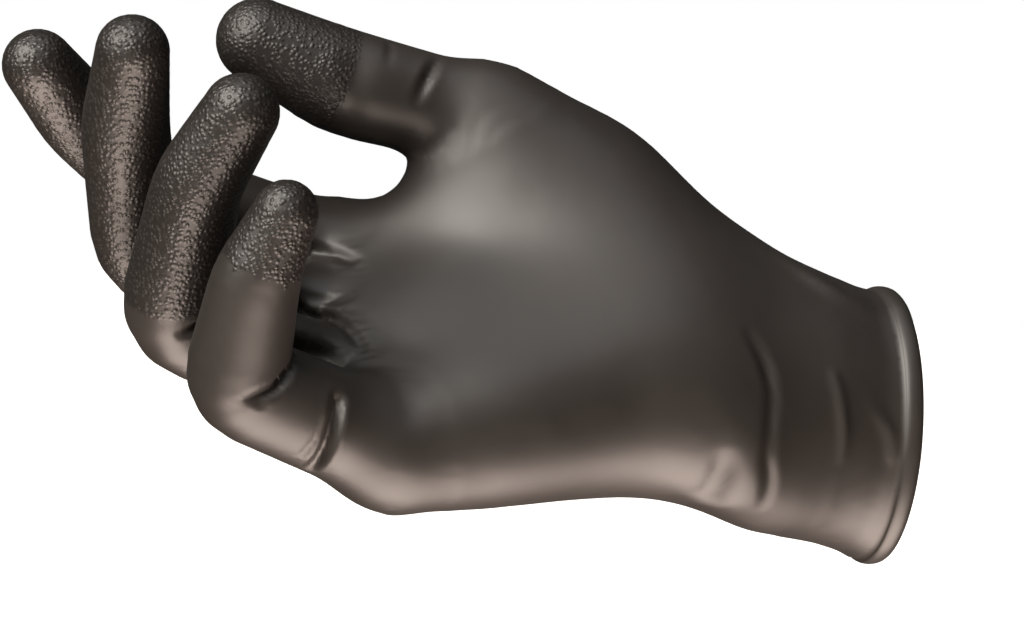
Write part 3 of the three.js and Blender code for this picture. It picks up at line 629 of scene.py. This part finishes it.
def nitrileFilm():
    # Grain, ripples and peel as bumps, painted shade darkening the grain's furrows, gloss that varies a
    # little
    look = filmLook
    material = bpy.data.materials.new("nitrileFilm")
    material.use_nodes = True
    tree = material.node_tree
    tree.nodes.clear()
    at = addNode(tree, "ShaderNodeTexCoord").outputs["Object"]
    reach = addNode(tree, "ShaderNodeAttribute", {"attribute_name": "grainReach"}).outputs["Fac"]

    # Leather-like pebbles of grainSize, rounded on top, only past the start of the textured tip
    bend = addNode(tree, "ShaderNodeTexNoise", {"Scale": 1000 / look["swayingSize"], "Detail": 1},
                   {"Vector": at})
    shift = addNode(tree, "ShaderNodeVectorMath", {"operation": "SUBTRACT", 1: (0.5, 0.5, 0.5)},
                    {0: bend.outputs["Color"]})
    shifted = addNode(tree, "ShaderNodeVectorMath",
                      {"operation": "MULTIPLY_ADD", 1: (look["swaying"] / 1000,) * 3},
                      {0: shift.outputs[0], 2: at})
    pebbles = addNode(tree, "ShaderNodeTexVoronoi",
                      {"feature": "SMOOTH_F1", "Scale": 1000 / look["grainSize"], "Randomness": 0.85,
                       "Smoothness": 0.15}, {"Vector": shifted.outputs[0]})
    crown = addNode(tree, "ShaderNodeMapRange", {"interpolation_type": "SMOOTHSTEP", "From Min": 0.0,
                                                 "From Max": 0.66, "To Min": 1.0, "To Max": 0.0},
                    {"Value": pebbles.outputs["Distance"]})
    mask = addNode(tree, "ShaderNodeMapRange", {"From Min": -0.3, "From Max": 0.9}, {"Value": reach})
    grain = addNode(tree, "ShaderNodeMath", {"operation": "MULTIPLY"},
                    {0: crown.outputs[0], 1: mask.outputs[0]})

    # Low ripples of the loose film and the fine peel of the dip
    ripple = addNode(tree, "ShaderNodeTexNoise",
                     {"Scale": 1000 / look["rippleSize"], "Detail": 2, "Roughness": 0.4}, {"Vector": at})
    peel = addNode(tree, "ShaderNodeTexNoise", {"Scale": 1000 / look["finenessSize"], "Detail": 2},
                   {"Vector": at})
    bump = addNode(tree, "ShaderNodeBump", {"Distance": look["rippleHeight"] / 1000, "Strength": 1},
                   {"Height": ripple.outputs["Fac"]})
    bump = addNode(tree, "ShaderNodeBump", {"Distance": look["finenessHeight"] / 1000, "Strength": 1},
                   {"Height": peel.outputs["Fac"], "Normal": bump.outputs[0]})
    bump = addNode(tree, "ShaderNodeBump", {"Distance": look["grainHeight"] / 1000, "Strength": 1},
                   {"Height": grain.outputs[0], "Normal": bump.outputs[0]})

    # Colour: slow variation in the film's thickness, and painted shade that darkens the grain's furrows and
    # so the textured tips
    cloud = addNode(tree, "ShaderNodeTexNoise",
                    {"Scale": 1000 / look["cloudSize"], "Detail": 3, "Roughness": 0.55}, {"Vector": at})
    body = addNode(tree, "ShaderNodeMix", {"data_type": "RGBA", 6: linearColour(look["deep"]),
                                           7: linearColour(look["pale"])}, {0: cloud.outputs["Fac"]})
    furrowShade = addNode(tree, "ShaderNodeMath", {"operation": "SUBTRACT"},
                     {0: mask.outputs[0], 1: grain.outputs[0]})
    furrowShadeShare = addNode(tree, "ShaderNodeMath", {"operation": "MULTIPLY", 1: look["furrowShadeShare"]},
                          {0: furrowShade.outputs[0]})
    colour = addNode(tree, "ShaderNodeMix", {"data_type": "RGBA", 7: linearColour(look["furrowShade"])},
                     {0: furrowShadeShare.outputs[0], 6: body.outputs[2]})
    gloss = addNode(tree, "ShaderNodeMapRange",
                    {"From Min": 0.3, "From Max": 0.7, "To Min": look["roughness"] - 0.03,
                     "To Max": look["roughness"] + 0.04}, {"Value": cloud.outputs["Fac"]})
    shader = addNode(tree, "ShaderNodeBsdfPrincipled", {"IOR": look["ior"], "Metallic": 0.0},
                     {"Base Color": colour.outputs[2], "Roughness": gloss.outputs[0],
                      "Normal": bump.outputs[0]})
    addNode(tree, "ShaderNodeOutputMaterial", None, {"Surface": shader.outputs[0]})
    return material


gloveFilm.data.materials.append(nitrileFilm())
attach(gloveFilm, "root")
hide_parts("glove")
print("film material: done")

# Studio: pale paper under soft light from the left and above, and its warm light thrown back from below;
# floorDrop and floorRadius in m, spreads and leans in degrees
studio = {
    "floorDrop": 0.115, "floorRadius": 6.0, "floorColour": "e4e3e2", "floorGlow": 0.55,
    "sidePower": 7.2, "sideSpread": 50.0, "sideLean": (27.0, -52.0), "sideColour": "fff8ee",
    "topPower": 0.9, "topSpread": 60.0, "topLean": (17.5, -6.0), "topColour": "ffffff",
    "bouncePower": 8.6, "bounceSpread": 62.0, "bounceLean": (166.0, -5.0), "bounceColour": "ffeadd",
    "surroundings": "ffffff", "surroundingsPower": 0.02,
}


def whiteFloor():
    # A disc: radius times cos and sin of the angle, with one ring of corners
    angle = np.linspace(0, 2 * np.pi, 96, endpoint=False)
    rim = studio["floorRadius"] * np.stack([np.cos(angle), np.sin(angle), np.zeros(96)], 1)
    corners = np.vstack([[0, 0, 0], rim]) + [0, 0, -studio["floorDrop"]]
    ids = np.arange(96)
    triangles = np.stack([np.zeros(96, int), 1 + ids, 1 + (ids + 1) % 96], 1)
    floor = newPiece("studioFloor", corners * 1000, triangles)
    material = bpy.data.materials.new("mattPaper")   # seamless paper: no gloss, so no hot spot
    material.use_nodes = True
    shader = material.node_tree.nodes["Principled BSDF"]
    shader.inputs["Base Color"].default_value = linearColour(studio["floorColour"])
    shader.inputs["Roughness"].default_value = 0.9
    shader.inputs["Specular IOR Level"].default_value = 0.1
    shader.inputs["Emission Color"].default_value = linearColour("ffffff")   # paper lit from behind as well
    shader.inputs["Emission Strength"].default_value = studio["floorGlow"]
    floor.data.materials.append(material)
    floor.visible_shadow = False   # lets the bounce light through
    floor.visible_diffuse = False   # its light comes from floorBounce alone
    floor.visible_glossy = False
    return floor


whiteFloor()


def broadLight(name, kind):
    # A wide far panel of light, its width given as an angle; its values in studio begin with the kind
    lamp = bpy.data.lights.new(name, "SUN")
    lamp.energy = studio[kind + "Power"]
    lamp.angle = np.radians(studio[kind + "Spread"])
    lamp.color = linearColour(studio[kind + "Colour"])[:3]
    light = bpy.data.objects.new(name, lamp)
    light.rotation_euler = tuple(np.radians((*studio[kind + "Lean"], 0.0)))
    bpy.context.scene.collection.objects.link(light)


broadLight("sidePanel", "side")
broadLight("topPanel", "top")
broadLight("floorBounce", "bounce")

world = bpy.data.worlds.new("studioAir")
bpy.context.scene.world = world
world.use_nodes = True
air = world.node_tree
air.nodes.clear()
seen = addNode(air, "ShaderNodeBackground", {"Color": linearColour(studio["surroundings"]), "Strength": 1.0})
lighting = addNode(air, "ShaderNodeBackground", {"Color": linearColour(studio["surroundings"]),
                                                 "Strength": studio["surroundingsPower"]})
rays = addNode(air, "ShaderNodeLightPath")
both = addNode(air, "ShaderNodeMixShader", None,
               {0: rays.outputs["Is Camera Ray"], 1: lighting.outputs[0], 2: seen.outputs[0]})
addNode(air, "ShaderNodeOutputWorld", None, {"Surface": both.outputs[0]})

# Camera: distance and target in mm, angles in degrees, side and lift in mm, focal length in picture widths
view = {"target": (-97.0, 0.0, 0.0), "distance": 600.0, "azimuth": -15.13, "elevation": 1.79, "roll": 4.24,
        "side": 16.47, "lift": 17.99, "focal": 2856.81 / 1024}


def studioCamera():
    # Back points from the target to the camera; right and up are turned about it by the roll
    a, e, r = np.radians([view["azimuth"], view["elevation"], view["roll"]])
    back = np.array([np.sin(a) * np.cos(e), -np.cos(a) * np.cos(e), np.sin(e)])
    right = np.array([np.cos(a), np.sin(a), 0])
    up = np.cross(back, right)
    right, up = np.cos(r) * right + np.sin(r) * up, -np.sin(r) * right + np.cos(r) * up
    place = np.array(view["target"]) + view["distance"] * back + view["side"] * right + view["lift"] * up
    lens = bpy.data.cameras.new("studioCamera")
    lens.sensor_width = 36.0
    lens.lens = 36.0 * view["focal"]
    lens.clip_start = 0.05
    camera = bpy.data.objects.new("studioCamera", lens)
    matrix = np.eye(4)
    matrix[:3, 0], matrix[:3, 1], matrix[:3, 2], matrix[:3, 3] = right, up, back, place / 1000
    camera.matrix_world = Matrix(matrix.tolist())
    bpy.context.scene.collection.objects.link(camera)
    bpy.context.scene.camera = camera


studioCamera()
bpy.context.scene.view_settings.view_transform = "Standard"
bpy.context.scene.view_settings.look = "None"

print("scene: done")
